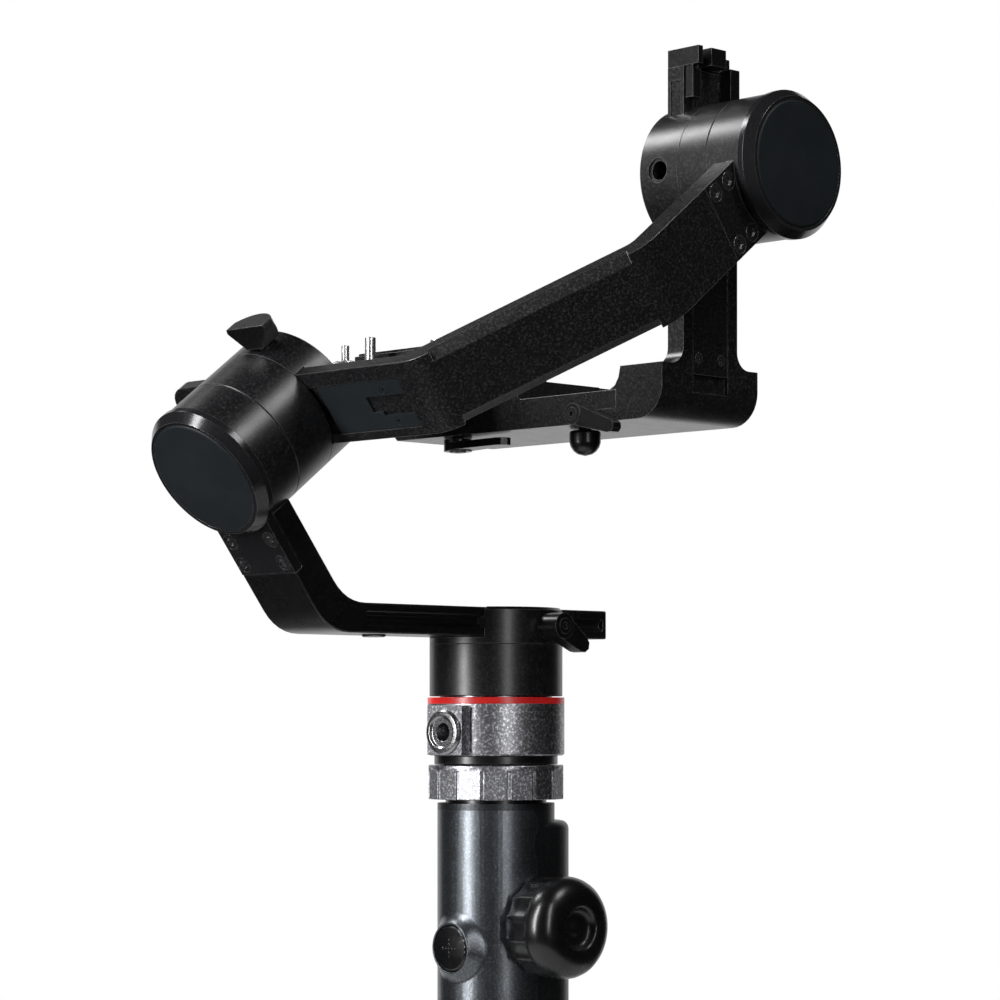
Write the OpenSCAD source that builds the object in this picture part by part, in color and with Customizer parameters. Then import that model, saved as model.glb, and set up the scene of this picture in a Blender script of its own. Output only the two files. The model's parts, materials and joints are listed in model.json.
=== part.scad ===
// Three-axis handheld camera gimbal, empty (no camera on it).
// Z runs up the handle and the pan axis, Y is the way the lens points, X is the operator's right.
// The origin is at the bottom of the handle, on its tripod thread.

/* [Handle] */
// Radius of the handle
handle_r = 20.9; // [20.5:0.1:21.5]
// Height of the shells' top edge
handle_top = 171.8; // [170:0.2:172]
// How far the front shell stands forward of a round handle
front_bulge = 7.2; // [6:0.2:8]
// Wall of the handle's shells
shell_wall = 2.2; // [2:0.1:2.4]
// Height of the thumb button's centre
button_z = 121; // [116:1:122]
// Height of the follow knob's axis
knob_z = 128.8; // [126:0.2:130]
// Radius of the follow knob
knob_r = 18; // [17:0.5:19]

/* [Axes] */
// Height where the pan, roll and tilt axes meet
centre_z = 381.9; // [378:0.1:384]
// Slope of the roll axis above level
roll_slope = 37.3; // [36:0.1:38]

/* [Motors] */
// Radius of a motor's turning case
motor_r = 23.7; // [23.4:0.1:24]
// Radius of a motor's fixed case
base_r = 24.4; // [24.2:0.1:24.8]
// Radius of the rubber disc on a motor's cap
disc_r = 20.8; // [20:0.1:21]
// Radial air gap in a motor
air_gap = 0.6; // [0.5:0.1:0.8]

/* [Arms] */
// Width of the pan and roll arms' rails
rail_w = 27; // [26:0.5:27]
// Thickness of the pan rail
pan_rail_t = 10.2; // [9.8:0.1:10.2]
// Thickness of the roll arm beyond its rail
roll_arm_t = 8.5; // [8:0.1:8.5]
// Thickness of the roll arm's rail
roll_rail_t = 4.6; // [4.4:0.1:5]
// Outer face of the roll arm's far leg, from the pan axis
roll_reach = 132.5; // [132:0.5:133]

/* [Camera cradle] */
// Width of the upright camera rail
upright_w = 27; // [26:0.5:27]
// Thickness of the upright camera rail
upright_t = 7; // [6.6:0.1:7]
// Width of the bracket's foot and of the quick-release base
foot_w = 48; // [46:1:50]
// Width of the sliding camera plate at its bottom
plate_w = 40; // [38:0.5:41]
// Length of the sliding camera plate
plate_l = 124; // [116:1:126]

/* [Fits] */
// Gap between a rail and its clamp
slide_gap = 0.25; // [0.2:0.05:0.3]
// Radial play of a running shaft
shaft_gap = 0.05; // [0.04:0.01:0.08]
// Gap between parts that turn past each other
turn_gap = 0.3; // [0.25:0.05:0.4]

/* [Hidden] */
$fn = 64;

// Colours
black = [0.07, 0.07, 0.08];
satin = [0.16, 0.16, 0.17];
gunmetal = [0.27, 0.28, 0.30];
rubber = [0.20, 0.21, 0.22];
red = [0.80, 0.07, 0.05];
steel = [0.75, 0.75, 0.77];
copper = [0.72, 0.42, 0.20];
brass = [0.78, 0.62, 0.30];
board_green = [0.05, 0.35, 0.20];

eps = 0.02;                         // overlap that keeps joined shapes one solid

// Handle stations, bottom to top
cap_top = 9;
front_top = 165.5;
ring_bottom = 173.2;
ring_top = 185.3;
base_bottom = 188.7;
base_top = 207;
accent_top = 209.3;
pan_gap_z = 209.45;                 // plane between the pan motor's two halves
pan_case_top = 228.1;
pan_clamp_top = 241;
pan_rail_z = 230.6;

// Roll motor stations along the roll axis, from the axes' crossing, back to front
roll_disc_a = -168.6;
roll_bezel_a = -163;
roll_gap_a = -148.5;
roll_case_a = -130;
roll_clamp_a = -115;
roll_rail_a = -129.7;

// Tilt motor stations along X, outside to inside
tilt_disc_x = 140;
tilt_bezel_x = 134.5;
tilt_gap_x = 120.5;
tilt_case_x = 108;
tilt_clamp_x = 90.7;
upright_x = 101.8;                  // outer face of the upright rail

// Cradle heights from the axes' crossing
foot_bottom = -81;
foot_top = -63;
base_floor = -76.8;
base_deck = -70.6;
base_wall_top = -62.4;
plate_z = -67;
riser_z = -61;
camera_z = -53;
upright_top = 35.5;

motor_depth = 13;                   // how deep the stator and magnets reach into the fixed case
shaft_r = 4;
bearing_r = 8;
post_r = 9.2;                       // fixed post that the stator sits on
stator_r = 16.8;
magnet_r = stator_r + air_gap;
magnet_t = 2.6;
case_wall = 2.4;

port_turn = 3.2;                    // the accessory port faces a little right of straight back
port_face = 27;                     // flat face round the port, from the pan axis

// ---------- frames ----------

// Local X sideways, local Y forward along the roll axis, local Z square to it
module roll_frame() {
    translate([0, 0, centre_z]) rotate([roll_slope, 0, 0]) children();
}

// Level, with its origin where the axes meet
module tilt_frame() {
    translate([0, 0, centre_z]) children();
}

// ---------- shared shapes ----------

// A ring with a plain round bore
module ring(outer, inner, z0, z1) {
    translate([0, 0, z0])
        difference() {
            cylinder(r = outer, h = z1 - z0);
            translate([0, 0, -1]) cylinder(r = inner, h = z1 - z0 + 2);
        }
}

// Solid of revolution from [r, z] points
module turned(points) {
    rotate_extrude() polygon(points);
}

// Box from its lowest to its highest corner
module block(low, high) {
    translate(low) cube(high - low);
}

// Socket-head cap screw, head at z = 0 upwards, shank below
module socket_screw(head_r, head_h, shank_r, shank_l) {
    difference() {
        union() {
            cylinder(r = head_r, h = head_h);
            translate([0, 0, -shank_l]) cylinder(r = shank_r, h = shank_l + eps);
        }
        translate([0, 0, head_h * 0.4]) cylinder(r = head_r * 0.55, h = head_h, $fn = 6);
    }
}

// Wound stator ring on the fixed post: twelve poles with coils between z0 and z1
module stator(z0, z1) {
    poles = 12;
    pole_w = 3.4;
    core_r = post_r + 2.4;
    shoe_r = stator_r - 1.4;
    ring(core_r, post_r, z0, z1);
    for (i = [0 : poles - 1])
        rotate([0, 0, i * 360 / poles]) {
            block([core_r - 0.3, -pole_w / 2, z0 + 0.8], [shoe_r + 0.3, pole_w / 2, z1 - 0.8]);
            intersection() {
                ring(stator_r, shoe_r, z0, z1);
                block([shoe_r - 1, -3.1, z0], [stator_r + 1, 3.1, z1]);
            }
        }
}

// Magnet ring that hangs round the stator on a steel yoke
module magnets(z0, z1) {
    ring(magnet_r + magnet_t, magnet_r, z0, z1);
}

// Two ball bearings inside the fixed post
module bearing_pair(z0, z1) {
    width = 4;
    ring(bearing_r, shaft_r + shaft_gap, z0, z0 + width);
    ring(bearing_r, shaft_r + shaft_gap, z1 - width, z1);
}

// Fixed half of a capped motor: z is 0 at the gap plane and the cap is at the low end
module capped_case(disc_z, bezel_z) {
    floor_z = -motor_depth - 0.6;
    cavity_r = motor_r - case_wall;
    seat = disc_z + 1.4;
    difference() {
        turned([
            [0, seat], [disc_r, seat], [disc_r, seat - 1], [disc_r + 1, seat - 1.2],
            [base_r - 0.2, disc_z + 3.4], [base_r - 0.2, bezel_z], [motor_r, bezel_z + 0.4],
            [motor_r, 0], [cavity_r, 0], [cavity_r, floor_z], [post_r, floor_z],
            [post_r, -1.2], [bearing_r, -1.2], [bearing_r, floor_z], [0, floor_z]
        ]);
        translate([0, 0, floor_z - 1.8]) cylinder(r = bearing_r - 2, h = 4);
    }
}

// Rubber disc let into a motor's cap, outer face at z = 1.4
module cap_disc() {
    turned([[0, 0], [disc_r - 0.1, 0], [disc_r - 0.1, 0.9], [disc_r - 0.6, 1.4], [0, 1.4]]);
}

// Turning half of a motor: shallow cup over the gap, closed at the far end
module motor_case(outer, height, roof_t) {
    difference() {
        turned([
            [0, turn_gap], [outer, turn_gap], [outer, height], [0, height]
        ]);
        translate([0, 0, -1]) cylinder(r = outer - case_wall, h = height - roof_t + 1);
    }
    ring(magnet_r + magnet_t, magnet_r, turn_gap, height - roof_t + eps);
    ring(shaft_r + 5, shaft_r, 1.2, height - roof_t + eps);
}

// Lever with a round barrel along +Z from z = 0, a stud behind it and a paddle along +X
module clamp_lever(barrel_r, barrel_l, arm_l, stud_r, stud_l) {
    arm_t = barrel_l * 0.62;
    tip_r = barrel_r * 0.62;
    difference() {
        union() {
            cylinder(r = barrel_r, h = barrel_l);
            translate([0, 0, -stud_l]) cylinder(r = stud_r, h = stud_l + eps);
            translate([0, 0, barrel_l - arm_t - 0.4])
                linear_extrude(arm_t)
                    polygon([
                        [0, -barrel_r], [arm_l, -tip_r], [arm_l + tip_r * 0.7, -tip_r * 0.7],
                        [arm_l + tip_r, 0], [arm_l + tip_r * 0.7, tip_r * 0.7],
                        [arm_l, tip_r], [0, barrel_r]
                    ]);
        }
        translate([0, 0, barrel_l - 1.2]) cylinder(r = barrel_r * 0.62, h = 2);
    }
    translate([0, 0, barrel_l - 1.2 - eps])
        difference() {
            cylinder(r = barrel_r * 0.62 - 0.1, h = 1.6);
            translate([0, 0, 0.7]) cylinder(r = barrel_r * 0.3, h = 2, $fn = 6);
        }
}

// Cross-section of the pan rail, in X and height, with a groove down each side
module pan_rail_section(grow) {
    half = rail_w / 2 + grow;
    groove = 2;
    lip = 2.7 + grow / 2;
    flare = 1.5;
    t = pan_rail_t;
    polygon([
        [-half, -grow], [half, -grow], [half, lip], [half - groove, lip + flare],
        [half - groove, t - lip - flare], [half, t - lip], [half, t + grow],
        [-half, t + grow], [-half, t - lip], [-half + groove, t - lip - flare],
        [-half + groove, lip + flare], [-half, lip]
    ]);
}

// Outline of the handle seen from above: round behind, carried forward in front
module handle_outline(r) {
    circle(r = r);
    translate([-r, 0]) square([2 * r, front_bulge]);
    translate([0, front_bulge]) circle(r = r);
}

// Half of the handle's side profile, rounded by `edge` at its upper end
module form_profile(r, z0, z1, edge) {
    polygon(concat(
        [[0, z0], [r, z0]],
        [for (i = [0 : 4]) [r - edge + edge * cos(i * 22.5), z1 - edge + edge * sin(i * 22.5)]],
        [[0, z1]]
    ));
}

// Handle outline carried from z0 to z1 with its upper edge rounded
module handle_form(r, z0, z1, edge) {
    for (y = [0, front_bulge])
        translate([0, y, 0]) rotate_extrude() form_profile(r, z0, z1, edge);
    translate([0, front_bulge, 0]) rotate([90, 0, 0])
        linear_extrude(front_bulge) {
            form_profile(r, z0, z1, edge);
            mirror([1, 0]) form_profile(r, z0, z1, edge);
        }
}

// Space that the shells close round
module handle_cavity() {
    inner_r = handle_r - shell_wall;
    translate([0, 0, cap_top - 1]) linear_extrude(front_top - cap_top - 2) handle_outline(inner_r);
    translate([0, 0, front_top - 4]) cylinder(r = inner_r, h = collar_z - front_top + 4 + eps);
    translate([0, 0, collar_z]) cylinder(r = collar_r, h = 20);
}

// ---------- handle ----------

collar_r = 18;
collar_z = handle_top - 3;          // lower end of the collar that the head stands on
bezel_r = 10.6;
bezel_hole_r = 8.4;
boss_r = 12;
slot_w = 11;
slot_z = [116.5, 150];

seam_top = 169.4;                   // the front shell closes round the handle above this

// Side outline of the rear shell, in Y and height, with a wave down its front edge
module rear_outline() {
    polygon([
        [-40, 0], [0, 0], [0, 149.5], [-0.3, 152], [-1.2, 154.4], [-1.8, 156.2], [-1.9, 158],
        [-1.4, 159.8], [-0.4, 162], [0, 164], [-0.2, 166.4], [-1, 168.2], [-2.4, seam_top], [-40, seam_top]
    ]);
}

module handle_rear_shell() {
    color(gunmetal)
        difference() {
            intersection() {
                translate([0, 0, cap_top]) cylinder(r = handle_r, h = handle_top - cap_top);
                translate([-40, 0, 0]) rotate([90, 0, 90]) linear_extrude(80) rear_outline();
            }
            handle_cavity();
            translate([0, 0, button_z]) rotate([90, 0, 0]) cylinder(r = bezel_r, h = 40);
            translate([0, 0, knob_z]) rotate([0, 90, 0]) cylinder(r = boss_r, h = 40);
        }
}

module handle_front_shell() {
    guard_t = 2.4;
    color(gunmetal)
        difference() {
            union() {
                handle_form(handle_r, cap_top, front_top, 3);
                translate([0, 0, cap_top]) cylinder(r = handle_r, h = handle_top - cap_top);
            }
            handle_cavity();
            translate([-40, 0, 0]) rotate([90, 0, 90]) linear_extrude(80) rear_outline();
            translate([0, 0, knob_z]) rotate([0, 90, 0]) cylinder(r = boss_r, h = 40);
            block([-slot_w / 2, 10, slot_z[0]], [slot_w / 2, 40, slot_z[1]]);
        }
    // guards beside the trigger slot carry its pin
    color(gunmetal)
        for (side = [-1, 1])
            difference() {
                translate([side * (slot_w + guard_t) / 2 - guard_t / 2, 15.4, trigger_pin_z - 2.6])
                    cube([guard_t, 10.4, 7.6]);
                trigger_pin_shape(trigger_pin_r);
            }
}

cell_r = 9.1;
cell_l = 65;
cell_rows = [12, 79];
tray_top = 146.2;

cell_y = [-7.1, 11.2];

module battery_cells() {
    color([0.15, 0.35, 0.62])
        for (y = cell_y, z = cell_rows)
            translate([0, y, z]) {
                cylinder(r = cell_r, h = cell_l - 1);
                cylinder(r = 3, h = cell_l);
            }
}

module battery_tray() {
    plates = [
        [cap_top + 1, cell_rows[0]], [cell_rows[0] + cell_l, cell_rows[1]],
        [cell_rows[1] + cell_l, tray_top]
    ];
    color(black)
        difference() {
            union() {
                for (z = plates)
                    translate([0, 0, z[0]]) linear_extrude(z[1] - z[0]) handle_outline(18.3);
                for (side = [-1, 1])
                    translate([side * 11.5 - 1.1, -2, cap_top + 1]) cube([2.2, 9, tray_top - cap_top - 1]);
            }
            // room for the trigger's hub
            block([-20, 15, tray_top - 3.2], [20, 40, tray_top + 1]);
        }
}

module control_board() {
    color(board_green) block([-14, 3, 147], [14, 4.6, 166]);
    color(black) {
        block([-6, 4.6 - eps, 151], [6, 6.2, 161]);
        block([-11, 1.4, 153], [-4, 3 + eps, 160]);
        block([3, 1.8, 150], [10, 3 + eps, 156]);
    }
    // ledges that hold the board on the tray's top plate
    color(black)
        for (x = [-12, 9]) block([x, 1.4, tray_top], [x + 3, 3 + eps, 149]);
}

module base_cap() {
    color(black)
        difference() {
            union() {
                translate([0, 0, cap_top]) mirror([0, 0, 1]) handle_form(handle_r, 0, cap_top, 1.4);
                translate([0, 0, cap_top - eps])
                    linear_extrude(1) handle_outline(handle_r - shell_wall - 0.2);
            }
            translate([0, 0, -1]) cylinder(r = insert_flange_r, h = 30);
        }
}

insert_flange_r = 6.5;
tripod_r = 3.175;

module tripod_insert() {
    color(brass)
        difference() {
            cylinder(r = insert_flange_r, h = cap_top + 1 - eps);
            translate([0, 0, -1]) cylinder(r = tripod_r, h = 30);
        }
}

module head_collar() {
    flange_z = ring_top + turn_gap;
    color(black)
        difference() {
            union() {
                translate([0, 0, collar_z]) cylinder(r = collar_r, h = base_bottom - collar_z);
                translate([0, 0, flange_z]) cylinder(r = 22, h = base_bottom - flange_z);
            }
            translate([0, 0, collar_z - 1]) cylinder(r = 13, h = 14);
            translate([0, 0, collar_z - 1]) cylinder(r = 5, h = 30);
        }
}

module lock_ring() {
    facets = 16;
    color(satin)
        difference() {
            translate([0, 0, ring_bottom])
                rotate([0, 0, 360 / facets / 2])
                    linear_extrude(ring_top - ring_bottom)
                        polygon([for (i = [0 : facets - 1])
                            [base_r * cos(i * 360 / facets), base_r * sin(i * 360 / facets)]]);
            translate([0, 0, ring_bottom - 1]) cylinder(r = collar_r + turn_gap, h = 20);
            for (i = [0 : facets - 1])
                rotate([0, 0, i * 360 / facets + 360 / facets / 2])
                    block([base_r - 0.9, -0.6, ring_bottom - 1], [base_r + 2, 0.6, ring_top - 2]);
        }
}

module button_bezel() {
    color(gunmetal)
        translate([0, -17.2, button_z]) rotate([90, 0, 0])
            turned([
                [bezel_hole_r, 0], [bezel_r, 0], [bezel_r, 2.4], [bezel_r - 0.5, 3.6],
                [bezel_r - 1, 4.8], [bezel_hole_r + 0.6, 5.7], [bezel_hole_r, 5.3]
            ]);
}

module thumb_button() {
    r = bezel_hole_r - 0.25;
    dot_gap = 1.5;
    color(black)
        translate([0, -17.2, button_z]) rotate([90, 0, 0]) {
            turned([[0, 0.9], [r, 0.9], [r, 5], [r - 0.8, 5.6], [r * 0.5, 6.1], [0, 6.3]]);
        }
    color(steel)
        translate([0, -17.2, button_z]) rotate([90, 0, 0])
            for (i = [-2 : 2], turn = [0, 90])
                rotate([0, 0, turn]) translate([i * dot_gap, 0, 5.9]) cylinder(r = 0.3, h = 0.6, $fn = 16);
}

module knob_boss() {
    color(black)
        translate([13.5, 0, knob_z]) rotate([0, 90, 0])
            difference() {
                cylinder(r = boss_r, h = 7.8);
                translate([0, 0, -1]) cylinder(r = 3 + shaft_gap, h = 20);
            }
}

knob_x = 21.7;

module follow_knob() {
    grips = 18;
    grip_l = 10;
    color(black)
        translate([knob_x, 0, knob_z]) rotate([0, 90, 0]) {
            difference() {
                turned([
                    [0, 0], [knob_r - 1.5, 0], [knob_r - 0.4, 1], [knob_r - 0.4, grip_l],
                    [knob_r, grip_l + 1], [knob_r, grip_l + 4.5], [knob_r - 0.9, grip_l + 7.2],
                    [knob_r - 2.8, grip_l + 9.2], [knob_r - 5.6, grip_l + 10.3], [9.6, grip_l + 10.6],
                    [8.7, grip_l + 10], [8, grip_l + 8.2], [3.4, grip_l + 7.6],
                    [3.1, grip_l + 8.2], [0, grip_l + 8.4]
                ]);
                for (i = [0 : grips - 1])
                    rotate([0, 0, i * 360 / grips])
                        translate([knob_r + 2.2, 0, -1]) cylinder(r = 3.4, h = grip_l + 1, $fn = 32);
            }
            translate([0, 0, -7.5]) cylinder(r = 3, h = 7.5 + eps);
        }
}

trigger_pin_r = 1.2;
trigger_pin_z = 147;
trigger_y = 22;

module trigger_pin_shape(r) {
    translate([-9, trigger_y - 3, trigger_pin_z]) rotate([0, 90, 0]) cylinder(r = r, h = 18);
}

module trigger_pin() {
    color(steel)
        translate([-7.9, trigger_y - 3, trigger_pin_z]) rotate([0, 90, 0]) cylinder(r = trigger_pin_r, h = 15.8);
}

module trigger() {
    half = slot_w / 2 - 0.5;
    color(satin)
        difference() {
            translate([-half, 0, 0]) rotate([90, 0, 90])
                linear_extrude(2 * half)
                    polygon([
                        [trigger_y - 5.6, trigger_pin_z + 2.4], [trigger_y + 5, trigger_pin_z + 2.2],
                        [trigger_y + 8, trigger_pin_z - 1], [trigger_y + 8.6, trigger_pin_z - 7],
                        [trigger_y + 8.2, trigger_pin_z - 13], [trigger_y + 9, trigger_pin_z - 19],
                        [trigger_y + 11, trigger_pin_z - 25], [trigger_y + 9.6, trigger_pin_z - 27.2],
                        [trigger_y + 6.6, trigger_pin_z - 25], [trigger_y + 4.4, trigger_pin_z - 18],
                        [trigger_y + 2, trigger_pin_z - 8], [trigger_y + 0.2, trigger_pin_z - 3.4],
                        [trigger_y - 5.6, trigger_pin_z - 2.4]
                    ]);
            trigger_pin_shape(trigger_pin_r + shaft_gap);
        }
}

// ---------- pan motor ----------

insert_r = 6.2;
insert_depth = 5.2;

module port_frame() {
    rotate([0, 0, port_turn]) translate([0, -port_face, 197]) rotate([90, 0, 0]) children();
}

module pan_motor_base() {
    color(satin)
        difference() {
            union() {
                difference() {
                    translate([0, 0, base_bottom])
                        turned([
                            [0, 0], [base_r - 0.6, 0], [base_r, 0.6],
                            [base_r, base_top - base_bottom], [0, base_top - base_bottom]
                        ]);
                    translate([0, 0, base_bottom + 3]) cylinder(r = base_r - case_wall, h = 40);
                }
                translate([0, 0, base_bottom + 3 - eps])
                    ring(post_r, bearing_r, 0, pan_gap_z - 1.2 - base_bottom - 3);
                rotate([0, 0, port_turn])
                    block([-8.2, -port_face, base_bottom + 0.4], [8.2, -base_r + 3.9, base_top - 0.6]);
            }
            translate([0, 0, base_bottom + 3]) cylinder(r = bearing_r, h = 40);
            translate([0, 0, base_bottom - 1]) cylinder(r = 5, h = 10);
            port_frame() translate([0, 0, -insert_depth]) cylinder(r = insert_r, h = 10);
        }
}

module accessory_insert() {
    color(steel)
        port_frame()
            difference() {
                turned([
                    [0, -insert_depth], [insert_r, -insert_depth], [insert_r, 0], [8, 0], [8, 0.7],
                    [7.2, 1.5], [5.8, 1.7], [5, 0.9], [0, 0.9]
                ]);
                translate([0, 0, -10]) cylinder(r = tripod_r, h = 20);
            }
}

module accent_ring() {
    color(red) ring(base_r, base_r - case_wall, base_top, accent_top);
}

module pan_stator() {
    color(copper) translate([0, 0, pan_gap_z]) stator(-motor_depth, -2.4);
}

module pan_bearings() {
    color(steel) translate([0, 0, pan_gap_z]) bearing_pair(-motor_depth, -1.6);
}

module pan_rotor_housing() {
    color(satin) translate([0, 0, pan_gap_z]) motor_case(motor_r, pan_case_top - pan_gap_z, 5);
}

module pan_magnets() {
    color(steel) translate([0, 0, pan_gap_z]) magnets(-motor_depth + 0.6, turn_gap);
}

module pan_shaft() {
    color(steel) translate([0, 0, pan_gap_z - motor_depth - 0.6]) cylinder(r = shaft_r, h = motor_depth + 12);
}

lever_y = 1;
lever_z = 234.2;
stud_r = 2.2;

module pan_clamp() {
    height = pan_clamp_top - pan_case_top;
    color(black)
        difference() {
            translate([0, 0, pan_case_top])
                turned([[0, 0], [motor_r, 0], [motor_r, height - 1], [motor_r - 1, height], [0, height]]);
            translate([0, 50, pan_rail_z]) rotate([90, 0, 0])
                linear_extrude(100) pan_rail_section(slide_gap);
            block([-rail_w / 2 - slide_gap, -50, pan_rail_z + pan_rail_t - 1], [rail_w / 2 + slide_gap, 50, 300]);
            translate([0, lever_y, lever_z]) rotate([0, 90, 0]) cylinder(r = stud_r + shaft_gap, h = 40);
        }
}

module pan_lever() {
    color(black)
        translate([motor_r + turn_gap, lever_y, lever_z])
            rotate([0, 90, 0]) rotate([0, 0, 58])
                clamp_lever(4.6, 9.2, 12, stud_r, 8);
}

// ---------- pan arm ----------

rail_front = 43;
upright_a = -152;                   // front face of the pan arm's upright, along the roll axis
pan_upright_t = 12.5;
upright_end = -16;                  // how near the upright comes to the roll axis before the motor cuts it
tongue_t = 3.5;                     // thickness of the motor cases' mounting tongues
tongue_end = -40.7;
bend_r = 9;
outer_bend_r = 9.5;

// Rounded corner as seven points from one leg to the other, through neither leg's corner point
function bend(corner, to, from) = [
    for (i = [0 : 6])
        let (t = i / 6) from * (1 - t) * (1 - t) + corner * 2 * t * (1 - t) + to * t * t
];

corner_z = pan_rail_z + pan_rail_t;  // top face of the rail

module pan_arm() {
    front = upright_a;
    back = upright_a - pan_upright_t;
    s = sin(roll_slope);
    c = cos(roll_slope);
    // a point given along and square to the roll axis, as Y and Z
    function yz(a, b) = [a * c - b * s, centre_z + a * s + b * c];
    // where the line a = const meets a height
    function at_height(a, z) = [(a - (z - centre_z) * s) / c, z];
    inner = at_height(front, corner_z);
    outer = at_height(back, pan_rail_z);
    inner_b = (inner[1] - centre_z - front * s) / c;
    outer_b = (outer[1] - centre_z - back * s) / c;
    color(black)
        difference() {
            union() {
                translate([0, rail_front, pan_rail_z]) rotate([90, 0, 0])
                    linear_extrude(rail_front - inner[0] + 1 - bend_r) pan_rail_section(0);
                block([-rail_w / 2, rail_front - 2, pan_rail_z], [rail_w / 2, rail_front, pan_rail_z + pan_rail_t]);
                translate([-rail_w / 2, 0, 0]) rotate([90, 0, 90])
                    linear_extrude(rail_w)
                        polygon(concat(
                            bend(inner, yz(front, inner_b + bend_r), [inner[0] + bend_r, corner_z]),
                            [yz(front, upright_end), yz(back, upright_end)],
                            bend(outer, [outer[0] + outer_bend_r, pan_rail_z], yz(back, outer_b + outer_bend_r)),
                            [[inner[0] + bend_r, pan_rail_z]]
                        ));
            }
            // seat for the roll motor's case and its mounting tongue
            roll_frame() {
                translate([0, back - 1, 0]) rotate([-90, 0, 0]) cylinder(r = base_r - 0.2, h = 3);
                translate([0, back - 1, 0]) rotate([-90, 0, 0]) cylinder(r = motor_r, h = 40);
                block([-20, back - 1, tongue_end], [20, back + tongue_t, 0]);
            }
        }
}

module pan_stop_screw() {
    color(steel)
        translate([0, -59, pan_rail_z]) rotate([180, 0, 0])
            difference() {
                turned([[0, 0], [4.2, 0], [4.2, 0.5], [3.8, 0.9], [0, 0.9]]);
                translate([0, 0, 0.4]) cylinder(r = 1.5, h = 2, $fn = 6);
            }
}

// Four screws through the upright into the roll motor's case
screw_cross = 10.1;
screw_rows = [-27.4, -36.6];
screw_head_r = 2.8;

module pan_arm_screws() {
    color(steel)
        roll_frame()
            for (x = [-1, 1], b = screw_rows)
                translate([x * screw_cross, upright_a - pan_upright_t + 1, b])
                    rotate([90, 0, 0]) socket_screw(screw_head_r, 0.9, 1.4, 2);
}

// ---------- roll motor ----------

module roll_motor_housing() {
    back = upright_a - pan_upright_t;
    color(black)
        roll_frame() {
            translate([0, roll_gap_a, 0]) rotate([-90, 0, 0])
                capped_case(roll_disc_a - roll_gap_a, roll_bezel_a - roll_gap_a);
            difference() {
                block([-rail_w / 2, back, tongue_end], [rail_w / 2, back + tongue_t, -18]);
                translate([0, roll_bezel_a, 0]) rotate([-90, 0, 0])
                    cylinder(r = motor_r - case_wall, h = 40);
                translate([0, back - 1, 0]) rotate([-90, 0, 0]) cylinder(r = base_r - 0.25, h = back_clear);
                for (x = [-1, 1], b = screw_rows)
                    translate([x * screw_cross, back + 1, b]) rotate([90, 0, 0])
                        cylinder(r = screw_head_r + 0.1, h = 4);
                for (x = [-1, 1], b = screw_rows)
                    translate([x * screw_cross, back - 1, b]) rotate([-90, 0, 0])
                        cylinder(r = 1.45, h = 8);
            }
        }
}

module roll_cap_disc() {
    color(rubber)
        roll_frame() translate([0, roll_disc_a + 1.4, 0]) rotate([90, 0, 0]) cap_disc();
}

module roll_stator() {
    color(copper)
        roll_frame() translate([0, roll_gap_a, 0]) rotate([-90, 0, 0]) stator(-motor_depth, -2.4);
}

module roll_bearings() {
    color(steel)
        roll_frame() translate([0, roll_gap_a, 0]) rotate([-90, 0, 0]) bearing_pair(-motor_depth, -1.6);
}

module roll_rotor_housing() {
    color(satin)
        roll_frame()
            translate([0, roll_gap_a, 0]) rotate([-90, 0, 0])
                motor_case(motor_r, roll_case_a - roll_gap_a, 5);
}

module roll_magnets() {
    color(steel)
        roll_frame() translate([0, roll_gap_a, 0]) rotate([-90, 0, 0]) magnets(-motor_depth + 0.6, turn_gap);
}

module roll_shaft() {
    color(steel)
        roll_frame()
            translate([0, roll_gap_a - motor_depth - 0.6, 0]) rotate([-90, 0, 0])
                cylinder(r = shaft_r, h = motor_depth + 12);
}

roll_lever_x = 6;
roll_lever_a = roll_clamp_a - 9.7;

module roll_clamp() {
    height = roll_clamp_a - roll_case_a;
    color(black)
        roll_frame()
            difference() {
                translate([0, roll_case_a, 0]) rotate([-90, 0, 0])
                    turned([[0, 0], [motor_r, 0], [motor_r, height - 1], [motor_r - 1, height], [0, height]]);
                block(
                    [-60, roll_case_a - 1, -rail_w / 2 - slide_gap],
                    [60, roll_rail_a + roll_rail_t + slide_gap, rail_w / 2 + slide_gap]
                );
                translate([roll_lever_x, roll_lever_a, 0]) cylinder(r = stud_r + shaft_gap, h = 40);
            }
}

// Short lever that flares from its stud to a wide top, flat in front and rounded behind
module roll_lever() {
    foot_half = 4.2;
    top_half = 9.6;
    height = 8.4;
    round_r = 12;
    color(black)
        roll_frame()
            translate([roll_lever_x, roll_lever_a, motor_r + turn_gap]) {
                intersection() {
                    translate([0, 20, 0]) rotate([90, 0, 0])
                        linear_extrude(40)
                            polygon([
                                [-foot_half, 0], [foot_half, 0], [top_half, height - 1.6],
                                [top_half - 0.4, height], [-top_half + 0.4, height],
                                [-top_half, height - 1.6]
                            ]);
                    linear_extrude(height)
                        intersection() {
                            translate([0, 5 - round_r]) circle(r = round_r);
                            translate([-20, -4]) square([40, 20]);
                        }
                }
                translate([0, 0, -8]) cylinder(r = stud_r, h = 8 + eps);
            }
}

// ---------- roll arm ----------

roll_rail_left = -47;
first_bend_x = 75;
second_bend_a = roll_rail_a + roll_reach - first_bend_x;
leg_end_a = -15;
bevel = 3.3;
tilt_tongue_a = -37;
tilt_screw_cross = 9.6;
back_clear = 2.4;

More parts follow.
